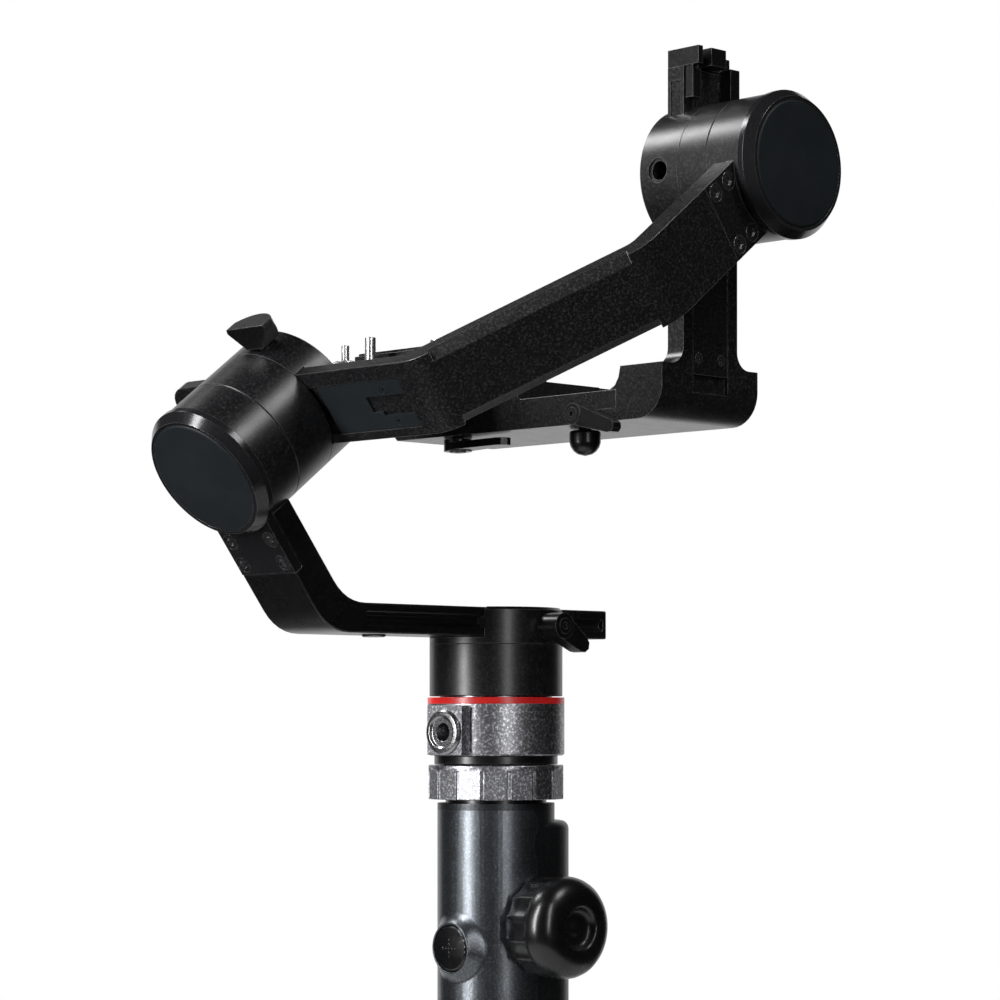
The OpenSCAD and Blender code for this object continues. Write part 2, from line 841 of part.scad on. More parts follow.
// Plan of the arm in X and along the roll axis: rail, slanted part and far leg
module roll_arm_plan() {
    t = roll_arm_t;
    rail_back = roll_rail_a + roll_rail_t;
    // back of the slanted part at a place along the roll axis
    function back_x(a) = first_bend_x - t * sqrt(2) + a - roll_rail_a;
    r = 14;
    k = r * tan(22.5);
    // the inner face keeps the same thickness all along
    slant = t * tan(22.5);
    q = (r - t) * tan(22.5);
    polygon(concat(
        [[roll_rail_left, roll_rail_a]],
        [for (i = [0 : 5]) [first_bend_x - k + r * sin(i * 9), roll_rail_a + r - r * cos(i * 9)]],
        [for (i = [0 : 5]) [roll_reach - r + r * cos(45 - i * 9), second_bend_a + k - r * sin(45 - i * 9)]],
        [[roll_reach, leg_end_a], [roll_reach - t, leg_end_a]],
        [for (i = [0 : 5]) [
            roll_reach - r + (r - t) * cos(i * 9),
            second_bend_a + slant + q - (r - t) * sin(i * 9)
        ]],
        // the rail's thin back sweeps up into the slanted part
        bend([back_x(rail_back), rail_back], [59.5, rail_back], [back_x(rail_back + 5), rail_back + 5]),
        [[roll_rail_left, rail_back]]
    ));
}

module roll_arm() {
    half = rail_w / 2;
    corner_r = 7;
    slant_mid = [(first_bend_x + roll_reach) / 2, (roll_rail_a + second_bend_a) / 2];
    slant_l = (roll_reach - first_bend_x) * sqrt(2);
    color(black)
        roll_frame()
            difference() {
                intersection() {
                    translate([0, 0, -half]) linear_extrude(rail_w) roll_arm_plan();
                    // rounded corners at the free end of the rail
                    translate([0, 40, 0]) rotate([90, 0, 0])
                        linear_extrude(220)
                            polygon(concat(
                                [[200, -half], [200, half]],
                                [for (i = [0 : 6]) [
                                    roll_rail_left + corner_r - corner_r * sin(i * 15),
                                    half - corner_r + corner_r * cos(i * 15)
                                ]],
                                [for (i = [0 : 6]) [
                                    roll_rail_left + corner_r - corner_r * cos(i * 15),
                                    -half + corner_r - corner_r * sin(i * 15)
                                ]]
                            ));
                }
                // bevels along the slanted part's outer face
                for (side = [-1, 1])
                    translate([slant_mid[0], slant_mid[1], side * half]) rotate([0, 0, 45])
                        rotate([45, 0, 0]) cube([slant_l - 12, bevel * sqrt(2), bevel * sqrt(2)], center = true);
                // shallow pocket along the back of the rail
                block([-41, roll_rail_a - 1, -10.2], [64.6, roll_rail_a + 1, 8]);
                // seat for the tilt motor's case and its mounting tongue
                rotate([0, 90, 0]) cylinder(r = motor_r, h = 300);
                block([roll_reach - tongue_t, tilt_tongue_a, -20], [roll_reach + 1, 0, 20]);
            }
}

// Thin plate in the rail's pocket, notched for the catch that stops the slide
module roll_arm_stop() {
    screws = [[55.5, 4.4], [55.5, -7.5]];
    color(satin)
        roll_frame()
            difference() {
                block([26, roll_rail_a + 0.1, -10], [64.4, roll_rail_a + 1, 7.8]);
                block([50.5, roll_rail_a - 1, -5.2], [70, roll_rail_a + 3, 2.2]);
                block([46, roll_rail_a - 1, -3.6], [51, roll_rail_a + 3, 2.2]);
                for (at = screws)
                    translate([at[0], roll_rail_a - 1, at[1]]) rotate([-90, 0, 0]) cylinder(r = 1.5, h = 1.6);
            }
    color(steel)
        roll_frame()
            for (at = screws)
                translate([at[0], roll_rail_a + 1, at[1]]) rotate([90, 0, 0])
                    difference() {
                        cylinder(r = 1.4, h = 0.8);
                        translate([0, 0, 0.4]) cylinder(r = 0.7, h = 1, $fn = 6);
                    }
}

// Four screws through the tilt motor's tongue into the arm's far leg
tilt_screws_a = [-25.6, -33.2];

module tilt_arm_screws() {
    color(steel)
        roll_frame()
            for (a = tilt_screws_a, b = [-1, 1])
                translate([roll_reach - 1, a, b * tilt_screw_cross]) rotate([0, 90, 0])
                    socket_screw(screw_head_r, 0.9, 1.4, 2);
}

// ---------- tilt motor ----------

module tilt_motor_housing() {
    color(black) {
        tilt_frame()
            translate([tilt_gap_x, 0, 0]) rotate([0, -90, 0])
                capped_case(tilt_gap_x - tilt_disc_x, tilt_gap_x - tilt_bezel_x);
        roll_frame()
            difference() {
                block(
                    [roll_reach - tongue_t, tilt_tongue_a, -rail_w / 2],
                    [roll_reach, -15, rail_w / 2]
                );
                rotate([0, 90, 0]) cylinder(r = motor_r - 0.3, h = 300);
                for (a = tilt_screws_a, b = [-1, 1])
                    translate([roll_reach - 1, a, b * tilt_screw_cross]) rotate([0, 90, 0])
                        cylinder(r = screw_head_r + 0.1, h = 4);
                for (a = tilt_screws_a, b = [-1, 1])
                    translate([roll_reach - 8, a, b * tilt_screw_cross]) rotate([0, 90, 0])
                        cylinder(r = 1.45, h = 10);
            }
    }
}

module tilt_cap_disc() {
    color(rubber)
        tilt_frame() translate([tilt_disc_x - 1.4, 0, 0]) rotate([0, 90, 0]) cap_disc();
}

module tilt_stator() {
    color(copper)
        tilt_frame() translate([tilt_gap_x, 0, 0]) rotate([0, -90, 0]) stator(-motor_depth, -2.4);
}

module tilt_bearings() {
    color(steel)
        tilt_frame() translate([tilt_gap_x, 0, 0]) rotate([0, -90, 0]) bearing_pair(-motor_depth, -1.6);
}

module tilt_rotor_housing() {
    color(satin)
        tilt_frame()
            translate([tilt_gap_x, 0, 0]) rotate([0, -90, 0])
                motor_case(motor_r, tilt_gap_x - tilt_case_x, 4);
}

module tilt_magnets() {
    color(steel)
        tilt_frame() translate([tilt_gap_x, 0, 0]) rotate([0, -90, 0]) magnets(-motor_depth + 0.6, turn_gap);
}

module tilt_shaft() {
    color(steel)
        tilt_frame()
            translate([tilt_gap_x + motor_depth + 0.6, 0, 0]) rotate([0, -90, 0])
                cylinder(r = shaft_r, h = motor_depth + 7);
}

tilt_lever_x = upright_x - upright_t / 2;
accessory_x = 99.5;

module tilt_clamp() {
    length = tilt_case_x - tilt_clamp_x;
    color(satin)
        tilt_frame()
            difference() {
                translate([tilt_case_x, 0, 0]) rotate([0, -90, 0])
                    turned([[0, 0], [motor_r, 0], [motor_r, length - 1], [motor_r - 1, length], [0, length]]);
                block(
                    [upright_x - upright_t - slide_gap, -upright_w / 2 - slide_gap, -40],
                    [upright_x + slide_gap, upright_w / 2 + slide_gap, 40]
                );
                translate([tilt_lever_x, 0, 0]) rotate([-90, 0, 0]) cylinder(r = stud_r + shaft_gap, h = 40);
                translate([accessory_x, -upright_w / 2, 0]) rotate([90, 0, 0]) cylinder(r = tripod_r, h = 40);
                translate([accessory_x, -motor_r + 1, 0]) rotate([90, 0, 0]) cylinder(r = 4.1, h = 10);
            }
}

module tilt_lever() {
    color(black)
        tilt_frame()
            translate([tilt_lever_x, motor_r + turn_gap, 0])
                rotate([-90, 0, 0]) rotate([0, 0, 70]) clamp_lever(4.6, 9.6, 13, stud_r, 8);
}

// ---------- camera cradle ----------

strip_w = 17.4;
strip_t = 1.6;
strip_bottom = -66;
heel_r = 11;

module camera_bracket() {
    half = upright_w / 2;
    foot = foot_w / 2;
    fillet = 6;
    color(satin)
        tilt_frame()
            difference() {
                union() {
                    // upright rail with a curved shoulder down to the foot
                    translate([upright_x - upright_t, 0, 0]) rotate([90, 0, 90])
                        linear_extrude(upright_t)
                            difference() {
                                polygon([
                                    [-half, upright_top], [half, upright_top], [half, foot_top + fillet],
                                    [half + fillet, foot_top + fillet], [half + fillet, foot_top],
                                    [half + fillet, foot_top - 2], [-half - fillet, foot_top - 2],
                                    [-half - fillet, foot_top + fillet], [-half, foot_top + fillet]
                                ]);
                                for (side = [-1, 1])
                                    translate([side * (half + fillet), foot_top + fillet]) circle(r = fillet);
                            }
                    // foot, rounded at the heel and stepped under the quick-release base
                    translate([0, foot, 0]) rotate([90, 0, 0])
                        linear_extrude(foot_w)
                            polygon(concat(
                                [[83, foot_top], [upright_x, foot_top]],
                                [for (i = [0 : 9]) [
                                    upright_x - heel_r + heel_r * cos(i * 10),
                                    foot_bottom + heel_r - heel_r * sin(i * 10)
                                ]],
                                [[70.5, foot_bottom], [70.5, base_floor], [81, base_floor],
                                 [81, base_deck], [78, base_deck], [80.6, -69.2], [82.2, -66.6]]
                            ));
                }
                // shallow groove down each edge of the upright
                for (side = [-1, 1])
                    translate([upright_x - upright_t / 2, side * half, -8])
                        cube([4.6, 1.2, 78], center = true);
                // channel for the scale strip, down the outer face and round the heel
                block([upright_x - strip_t, -strip_w / 2, -72], [upright_x + 1, strip_w / 2, upright_top + 1]);
            }
}

module rail_strip() {
    top = upright_top - 0.5;
    screw_rows_z = [-60.4, 31];
    color(satin)
        tilt_frame()
            difference() {
                block(
                    [upright_x - strip_t, -strip_w / 2 + 0.15, strip_bottom],
                    [upright_x - 0.2, strip_w / 2 - 0.15, top]
                );
                for (z = screw_rows_z, y = [-5.6, 5.6])
                    translate([upright_x - 1, y, z]) rotate([0, 90, 0]) cylinder(r = 1.7, h = 3);
            }
    color(steel)
        tilt_frame()
            for (z = screw_rows_z, y = [-5.6, 5.6])
                translate([upright_x - 1 - eps, y, z]) rotate([0, 90, 0])
                    difference() {
                        cylinder(r = 1.55, h = 0.7);
                        translate([0, 0, 0.3]) cylinder(r = 0.8, h = 1, $fn = 6);
                    }
}

module rail_end_stop() {
    half = upright_w / 2;
    back = upright_x - upright_t;
    color(black)
        tilt_frame()
            difference() {
                union() {
                    block([back, -half, upright_top], [upright_x + 6.6, 0.3, 41.4]);
                    block([back, 0, upright_top], [upright_x, 9.6, 40.6]);
                    block([upright_x, 4.8, 25], [upright_x + 4.6, 9.4, upright_top + 0.8]);
                    block([upright_x, -12.6, 25], [upright_x + 3.4, -8.6, upright_top + 0.8]);
                    block([upright_x - 1, 4.8, upright_top], [upright_x + 4.6, 9.4, upright_top + 0.8]);
                }
                // lightening slot through the raised end
                block([upright_x + 0.6, -11.2, upright_top - 1], [upright_x + 8, -7, 50]);
            }
}

base_left = -28;
base_slope = 5;                     // inward lean of the dovetail, across its height
plate_t = riser_z - plate_z;

// Dovetail section of the camera plate in X and Z, wider at the bottom
module plate_section(grow) {
    half = plate_w / 2 + grow;
    polygon([
        [-half, plate_z - grow], [half, plate_z - grow], [half, plate_z + 1.4],
        [half - 2.4, plate_z + 3.6], [half - 2.4, riser_z + grow + eps], [-half + 2.4, riser_z + grow + eps],
        [-half + 2.4, plate_z + 3.6], [-half, plate_z + 1.4]
    ]);
}

module quick_release_base() {
    foot = foot_w / 2;
    color(satin)
        tilt_frame()
            difference() {
                translate([0, foot, 0]) rotate([90, 0, 0])
                    linear_extrude(foot_w)
                        difference() {
                            polygon([
                                [base_left, foot_bottom + 2], [base_left + 2, foot_bottom],
                                [70.5, foot_bottom], [70.5, base_floor], [81, base_floor],
                                [81, base_deck], [36, base_deck], [28, base_wall_top],
                                [base_left, base_wall_top]
                            ]);
                            plate_section(slide_gap);
                            translate([0, base_wall_top - 1.2]) square([2 * (plate_w / 2 - 2.4 + slide_gap), 6], center = true);
                        }
                // bores for the two lever studs and the safety pin
                translate([lever_pos[0], lever_pos[1] + 14, lever_pos[2]]) rotate([90, 0, 0])
                    cylinder(r = stud_r + shaft_gap, h = 40);
                translate([safety_pos[0], safety_pos[1], foot_bottom - 1]) cylinder(r = 2.2 + shaft_gap, h = 12);
                translate([knob_pos[0], knob_pos[1], foot_bottom - 1]) cylinder(r = 2.2 + shaft_gap, h = 8);
            }
}

lever_pos = [67.2, -24.3, -78.3];
safety_pos = [-5, -14];
knob_pos = [51.6, -8];

module plate_lever() {
    color(black)
        tilt_frame()
            translate(lever_pos) rotate([90, 0, 0])
                rotate([0, 0, -17]) clamp_lever(3.6, 6.4, 17, stud_r, 8);
}

module safety_lever() {
    color(black)
        tilt_frame()
            translate([safety_pos[0], safety_pos[1], foot_bottom - turn_gap]) rotate([180, 0, 0])
                rotate([0, 0, 8]) clamp_lever(5, 4.2, 26, 2.2, 7);
}

module safety_knob() {
    r = 5.4;
    color(black)
        tilt_frame()
            translate([knob_pos[0], knob_pos[1], foot_bottom - 0.5]) rotate([180, 0, 0]) {
                turned([
                    [0, 0], [r - 0.5, 0], [r, 0.6], [r, 4], [r - 0.5, 5.6], [r - 1.5, 7],
                    [r - 2.9, 8], [0, 8.6]
                ]);
                translate([0, 0, -5]) cylinder(r = 2.2, h = 5 + eps);
            }
}

// ---------- camera plate ----------

plate_back = -80;
riser_y = [-52, 8];
camera_screw_y = -28;
ring_y = -72;

ring_pin_r = 2;

module camera_plate() {
    color(black)
        tilt_frame() {
            difference() {
                translate([0, plate_back + plate_l, 0]) rotate([90, 0, 0])
                    linear_extrude(plate_l)
                        intersection() {
                            plate_section(0);
                            translate([-40, plate_z]) square([80, plate_t]);
                        }
                // long slot under the camera screw
                block([-3.4, -46, plate_z - 1], [3.4, 32, riser_z + 1]);
                translate([0, ring_y, plate_z - 1]) cylinder(r = ring_pin_r + shaft_gap, h = 10);
            }
            // post that keeps a camera from twisting
            translate([0, -60.5, riser_z - eps]) cylinder(r = 1.9, h = 11.5);
        }
}

module riser_plate() {
    half = 17.5;
    color(black)
        tilt_frame()
            difference() {
                block([-half, riser_y[0], riser_z], [half, riser_y[1], camera_z - 1]);
                translate([0, camera_screw_y, riser_z - 1]) cylinder(r = tripod_r + shaft_gap, h = 20);
                translate([0, camera_screw_y, riser_z - 1]) cylinder(r = 6.2, h = 4);
            }
    color(rubber)
        tilt_frame()
            difference() {
                block([-half + 1, riser_y[0] + 1, camera_z - 1 - eps], [half - 1, riser_y[1] - 1, camera_z]);
                translate([0, camera_screw_y, riser_z - 1]) cylinder(r = tripod_r + 0.4, h = 20);
            }
}

module camera_screw() {
    head_z = riser_z + 0.2;
    head_h = 2.6;
    neck_r = 2.75;                  // the thread is cut away where it passes the plate
    color(steel)
        tilt_frame() translate([0, camera_screw_y, head_z])
            difference() {
                union() {
                    cylinder(r = 6, h = head_h);
                    cylinder(r = neck_r, h = camera_z - head_z + 1);
                    translate([0, 0, camera_z - head_z]) cylinder(r = tripod_r, h = 5.4);
                }
                translate([0, 0, -1]) cylinder(r = 2.6, h = 2.6, $fn = 6);
            }
}

// Flat ring on its own pin at the rear end of the camera plate
module d_ring() {
    z = riser_z + turn_gap;
    color(steel)
        tilt_frame()
            translate([0, ring_y, z])
                difference() {
                    union() {
                        cylinder(r = 7.6, h = 1.3);
                        cylinder(r = 3.2, h = 2.1);
                        cylinder(r = 1.35, h = 7.4);
                        translate([0, 0, -5]) cylinder(r = ring_pin_r, h = 6);
                    }
                    for (side = [-1, 1])
                        translate([0, side * 5.2, -1]) cylinder(r = 1.4, h = 4);
                }
}

// ---------- nodes ----------

handle_rear_shell();
handle_front_shell();
battery_cells();
battery_tray();
control_board();
base_cap();
tripod_insert();
head_collar();
button_bezel();
knob_boss();
lock_ring();
thumb_button();
trigger();
trigger_pin();
follow_knob();
pan_motor_base();
accessory_insert();
accent_ring();
pan_stator();
pan_bearings();
pan_rotor_housing();
pan_magnets();
pan_shaft();
pan_clamp();
pan_lever();
pan_arm();
pan_stop_screw();
pan_arm_screws();
roll_motor_housing();
roll_cap_disc();
roll_stator();
roll_bearings();
roll_rotor_housing();
roll_magnets();
roll_shaft();
roll_clamp();
roll_lever();
roll_arm();
roll_arm_stop();
tilt_arm_screws();
tilt_motor_housing();
tilt_cap_disc();
tilt_stator();
tilt_bearings();
tilt_rotor_housing();
tilt_magnets();
tilt_shaft();
tilt_clamp();
tilt_lever();
camera_bracket();
rail_strip();
rail_end_stop();
quick_release_base();
plate_lever();
safety_lever();
safety_knob();
camera_plate();
riser_plate();
camera_screw();
d_ring();
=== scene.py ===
"""Looks of the three-axis camera gimbal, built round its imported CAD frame."""

import json
import math

import bmesh
import bpy
from mathutils import Matrix, Vector


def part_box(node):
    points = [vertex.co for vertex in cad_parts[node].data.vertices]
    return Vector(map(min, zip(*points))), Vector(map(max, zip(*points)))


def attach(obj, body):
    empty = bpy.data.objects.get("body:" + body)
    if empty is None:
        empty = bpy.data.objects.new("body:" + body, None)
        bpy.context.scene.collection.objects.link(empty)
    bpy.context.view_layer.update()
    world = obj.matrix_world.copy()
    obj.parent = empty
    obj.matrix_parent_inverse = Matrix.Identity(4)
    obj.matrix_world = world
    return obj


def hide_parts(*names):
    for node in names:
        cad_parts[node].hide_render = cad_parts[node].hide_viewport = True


MM = 0.001

# Places on the part, in the CAD frame
MOTOR_CENTRE = Vector((0, 0, 381.9)) * MM  # where the three motor axes meet
ROLL_SLOPE = math.radians(37.3)
ROLL_AXIS = Vector((0, math.cos(ROLL_SLOPE), math.sin(ROLL_SLOPE)))
ROLL_RIM = -162.7 * MM  # along the roll axis: the cap's polished rim lies beyond this
TILT_RIM = 134.2 * MM  # the same along X, on the tilt motor
POST_HEIGHT = 11.4 * MM  # bare steel post on the camera plate
BUTTON_Z = 121  # thumb button's centre, millimetres

# Camera that took the photograph
CAMERA_AZIMUTH = math.radians(45.29)
CAMERA_DISTANCE = 1.1061
CAMERA_HEIGHT = 0.201
CAMERA_LENS = 111.67
CAMERA_SHIFT_Y = 0.2208
CAMERA_SIDESTEP = 0.001426

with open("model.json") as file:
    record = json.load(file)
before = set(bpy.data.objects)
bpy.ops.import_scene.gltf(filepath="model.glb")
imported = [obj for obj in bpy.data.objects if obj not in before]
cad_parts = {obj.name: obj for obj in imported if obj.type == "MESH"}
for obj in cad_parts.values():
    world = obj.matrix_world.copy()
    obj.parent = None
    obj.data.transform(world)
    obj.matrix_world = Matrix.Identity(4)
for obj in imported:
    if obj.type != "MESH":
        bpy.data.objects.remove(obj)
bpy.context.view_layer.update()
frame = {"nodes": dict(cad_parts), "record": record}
node_body = {node: body for body, nodes in frame["record"]["behaviour"]["bodies"].items() for node in nodes}


# ---------- materials ----------


class Nodes:
    """A material's node tree with short ways to add and join its nodes."""

    def __init__(self, name):
        self.material = bpy.data.materials.new(name)
        self.material.use_nodes = True
        self.tree = self.material.node_tree
        self.shader = self.tree.nodes["Principled BSDF"]
        self.coords = self.add("ShaderNodeTexCoord").outputs["Object"]

    def add(self, kind, **values):
        node = self.tree.nodes.new(kind)
        for key, value in values.items():
            setattr(node, key, value)
        return node

    def join(self, output, socket):
        self.tree.links.new(output, socket)

    def noise(self, scale, detail=2.0, roughness=0.5, stretch=None):
        coords = self.coords
        if stretch:
            mapping = self.add("ShaderNodeMapping")
            mapping.inputs["Scale"].default_value = stretch
            self.join(coords, mapping.inputs["Vector"])
            coords = mapping.outputs["Vector"]
        node = self.add("ShaderNodeTexNoise")
        node.inputs["Scale"].default_value = scale
        node.inputs["Detail"].default_value = detail
        node.inputs["Roughness"].default_value = roughness
        self.join(coords, node.inputs["Vector"])
        return node.outputs["Fac"]

    def spread(self, value, low, high, to_low=0.0, to_high=1.0):
        node = self.add("ShaderNodeMapRange")
        node.inputs["From Min"].default_value = low
        node.inputs["From Max"].default_value = high
        node.inputs["To Min"].default_value = to_low
        node.inputs["To Max"].default_value = to_high
        self.join(value, node.inputs["Value"])
        return node.outputs["Result"]

    def maths(self, operation, a, b):
        node = self.add("ShaderNodeMath", operation=operation)
        for socket, value in zip(node.inputs, (a, b)):
            if isinstance(value, (int, float)):
                socket.default_value = value
            else:
                self.join(value, socket)
        return node.outputs["Value"]

    def blend(self, amount, first, second):
        node = self.add("ShaderNodeMix", data_type="RGBA")
        self.join(amount, node.inputs["Factor"])
        for socket, colour in ((node.inputs[6], first), (node.inputs[7], second)):
            if isinstance(colour, tuple):
                socket.default_value = (*colour, 1.0)
            else:
                self.join(colour, socket)
        return node.outputs[2]

    def edges(self, radius):
        """1 along the edges of a piece, 0 on its faces."""
        bevel = self.add("ShaderNodeBevel", samples=4)
        bevel.inputs["Radius"].default_value = radius
        geometry = self.add("ShaderNodeNewGeometry")
        dot = self.add("ShaderNodeVectorMath", operation="DOT_PRODUCT")
        self.join(bevel.outputs["Normal"], dot.inputs[0])
        self.join(geometry.outputs["Normal"], dot.inputs[1])
        flat, sharp = 0.99, 0.86
        return self.spread(dot.outputs["Value"], flat, sharp)

    def bump(self, height, depth):
        node = self.add("ShaderNodeBump")
        node.inputs["Distance"].default_value = depth
        node.inputs["Strength"].default_value = 1.0
        self.join(height, node.inputs["Height"])
        self.join(node.outputs["Normal"], self.shader.inputs["Normal"])


def scaled(colour, factor):
    return tuple(min(1.0, c * factor) for c in colour)


def coated(name, colour, rough, metallic, fleck, amount, grain, depth, edge_wear_and_light):
    """Painted or anodised metal: fine grain with pale flecks, cloudy tone, and edges painted lighter,
    partly as wear and mostly as a painted highlight along each edge.

    fleck is how many times paler than the paint the flecks are, amount how strongly they show, grain
    their number per metre, depth the height of the grain in millimetres, and the last argument how strongly
    the edges are painted lighter, as wear and painted highlight.
    """
    worn_lit_edge_colour = (0.34, 0.34, 0.35)
    m = Nodes(name)
    fine = m.noise(grain, 3, 0.7)
    flecks = m.spread(fine, 0.5, 0.66)
    cloud = m.spread(m.noise(35, 3), 0.3, 0.7)
    base = m.blend(cloud, scaled(colour, 0.88), scaled(colour, 1.1))
    base = m.blend(m.maths("MULTIPLY", flecks, amount), base, scaled(colour, fleck))
    # Edges painted paler: a little wear, mostly a painted highlight along each edge
    worn_lit_edges = m.maths("MULTIPLY", m.edges(0.35 * MM), m.spread(m.noise(400, 3), 0.3, 0.6, 0.3 * edge_wear_and_light, edge_wear_and_light))
    base = m.blend(worn_lit_edges, base, worn_lit_edge_colour)
    m.join(base, m.shader.inputs["Base Color"])
    marks = m.spread(m.noise(160, 4), 0.3, 0.7, rough - 0.015, rough + 0.02)
    m.join(m.maths("ADD", marks, m.maths("MULTIPLY", fine, 0.08)), m.shader.inputs["Roughness"])
    m.bump(fine, depth * MM)
    m.shader.inputs["Metallic"].default_value = metallic
    return m.material


def moulded(name, colour, rough, depth=0.01, grain=1500, gloss=0.5):
    """Moulded plastic or rubber: soft grain, slight handling marks in the gloss."""
    m = Nodes(name)
    fine = m.noise(grain, 2, 0.6)
    cloud = m.spread(m.noise(45, 2), 0.3, 0.7)
    base = m.blend(cloud, scaled(colour, 0.88), scaled(colour, 1.12))
    # Edges painted up to four times paler: partly wear, partly a painted highlight along each edge
    worn_lit_edges = m.maths("MULTIPLY", m.edges(0.5 * MM), m.spread(m.noise(300, 3), 0.4, 0.7, 0, 0.2))
    m.join(m.blend(worn_lit_edges, base, scaled(colour, 4)), m.shader.inputs["Base Color"])
    marks = m.spread(m.noise(70, 5, 0.7), 0.35, 0.7, rough - 0.05, rough + 0.08)
    m.join(marks, m.shader.inputs["Roughness"])
    m.bump(fine, depth * MM)
    m.shader.inputs["Specular IOR Level"].default_value = gloss
    return m.material


def machined(name, colour, rough, stretch):
    """Bare turned metal with fine tool marks, drawn out across the largest stretch."""
    m = Nodes(name)
    lines = m.noise(900, 3, 0.6, stretch)
    base = m.blend(m.spread(lines, 0.3, 0.7), scaled(colour, 0.8), scaled(colour, 1.15))
    m.join(base, m.shader.inputs["Base Color"])
    m.join(m.spread(lines, 0.3, 0.7, rough - 0.06, rough + 0.08), m.shader.inputs["Roughness"])
    m.bump(lines, 0.001 * MM)
    m.shader.inputs["Metallic"].default_value = 1.0
    return m.material


black_metal = coated(
    "black_metal", (0.0035, 0.0035, 0.0038), rough=0.25, metallic=0,
    fleck=5, amount=0.5, grain=1300, depth=0.012, edge_wear_and_light=0.5,
)
motor_metal = coated(
    "motor_metal", (0.0045, 0.0045, 0.005), rough=0.28, metallic=0,
    fleck=8, amount=0.7, grain=1200, depth=0.01, edge_wear_and_light=0.5,
)
bezel_metal = coated(
    "bezel_metal", (0.022, 0.022, 0.024), rough=0.15, metallic=0.5,
    fleck=2, amount=0.3, grain=1400, depth=0.004, edge_wear_and_light=0.6,
)
speckled_metal = coated(
    "speckled_metal", (0.25, 0.25, 0.267), rough=0.34, metallic=1,
    fleck=3.6, amount=0.95, grain=1100, depth=0.06, edge_wear_and_light=0.6,
)
cradle_metal = coated(
    "cradle_metal", (0.0065, 0.0065, 0.007), rough=0.25, metallic=0.1,
    fleck=9, amount=0.6, grain=1300, depth=0.02, edge_wear_and_light=0.5,
)
gunmetal = coated(
    "gunmetal", (0.098, 0.106, 0.116), rough=0.28, metallic=0.95,
    fleck=2.4, amount=0.6, grain=1400, depth=0.02, edge_wear_and_light=0.3,
)
dark_gunmetal = coated(
    "dark_gunmetal", (0.045, 0.048, 0.052), rough=0.33, metallic=0.9,
    fleck=2.2, amount=0.6, grain=1500, depth=0.02, edge_wear_and_light=0.3,
)
red_enamel = coated(
    "red_enamel", (0.62, 0.018, 0.016), rough=0.25, metallic=0,
    fleck=1.3, amount=0.3, grain=1700, depth=0.004, edge_wear_and_light=0,
)
black_plastic = moulded("black_plastic", (0.004, 0.004, 0.0045), rough=0.34)
rubber = moulded("rubber", (0.0105, 0.0135, 0.0155), rough=0.5, depth=0.02, grain=2200, gloss=0.25)
gloss_black = moulded("gloss_black", (0.0035, 0.0035, 0.004), rough=0.27, depth=0.004)
steel = machined("steel", (0.78, 0.78, 0.80), rough=0.3, stretch=(1, 1, 3))
dark_steel = machined("dark_steel", (0.32, 0.32, 0.33), rough=0.28, stretch=(1, 1, 3))
brass = machined("brass", (0.70, 0.50, 0.22), rough=0.28, stretch=(1, 1, 12))
copper = machined("copper", (0.62, 0.26, 0.12), rough=0.35, stretch=(6, 6, 1))
board_green = moulded("board_green", (0.02, 0.14, 0.07), rough=0.35)
cell_blue = moulded("cell_blue", (0.03, 0.12, 0.32), rough=0.3)
dot_white = moulded("dot_white", (0.55, 0.56, 0.58), rough=0.5)


# ---------- pieces ----------


def smooth(obj, angle=35):
    for polygon in obj.data.polygons:
        polygon.use_smooth = True
    obj.data.set_sharp_from_angle(angle=math.radians(angle))


def softened(node, width, segments=2, angle=28):
    """A copy of a CAD node with its sharp edges rounded by width millimetres, standing for the node."""
    source = frame["nodes"][node]
    mesh = source.data.copy()
    mesh.materials.clear()
    work = bmesh.new()
    work.from_mesh(mesh)
    bmesh.ops.remove_doubles(work, verts=work.verts, dist=1e-6)
    bmesh.ops.dissolve_limit(
        work, angle_limit=math.radians(1), verts=work.verts, edges=work.edges, delimit={"NORMAL"}
    )
    work.to_mesh(mesh)
    work.free()
    obj = bpy.data.objects.new(node + "_finished", mesh)
    bpy.context.scene.collection.objects.link(obj)
    modifier = obj.modifiers.new("rounding", "BEVEL")
    modifier.width = width * MM
    modifier.segments = segments
    modifier.limit_method = "ANGLE"
    modifier.angle_limit = math.radians(angle)
    modifier.use_clamp_overlap = True
    modifier.miter_outer = "MITER_ARC"
    smooth(obj)
    weighted = obj.modifiers.new("flat_faces", "WEIGHTED_NORMAL")
    weighted.keep_sharp = True
    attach(obj, node_body[node])
    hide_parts(node)
    return obj


def refinish(obj, material, covers):
    """A second finish on the faces whose centre passes a test."""
    obj.data.materials.append(material)
    for polygon in obj.data.polygons:
        if covers(polygon.center):
            polygon.material_index = 1


def grid_piece(name, rows, material, body, smooth_angle=50):
    """A surface through rows of points, each row closed on itself, riding on a body."""
    count = len(rows[0])
    points = [point for row in rows for point in row]
    faces = []
    for i in range(len(rows) - 1):
        for j in range(count):
            k = (j + 1) % count
            faces.append((i * count + j, i * count + k, (i + 1) * count + k, (i + 1) * count + j))
    mesh = bpy.data.meshes.new(name)
    mesh.from_pydata(points, [], faces)
    work = bmesh.new()
    work.from_mesh(mesh)
    bmesh.ops.remove_doubles(work, verts=work.verts, dist=1e-7)
    bmesh.ops.recalc_face_normals(work, faces=work.faces)
    work.to_mesh(mesh)
    work.free()
    obj = bpy.data.objects.new(name, mesh)
    bpy.context.scene.collection.objects.link(obj)
    obj.data.materials.append(material)
    smooth(obj, smooth_angle)
    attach(obj, body)
    return obj


def circle(r, steps):
    """Points of a circle as pairs, starting on the first axis."""
    turns = [2 * math.pi * j / steps for j in range(steps)]
    return [(r * math.cos(turn), r * math.sin(turn)) for turn in turns]


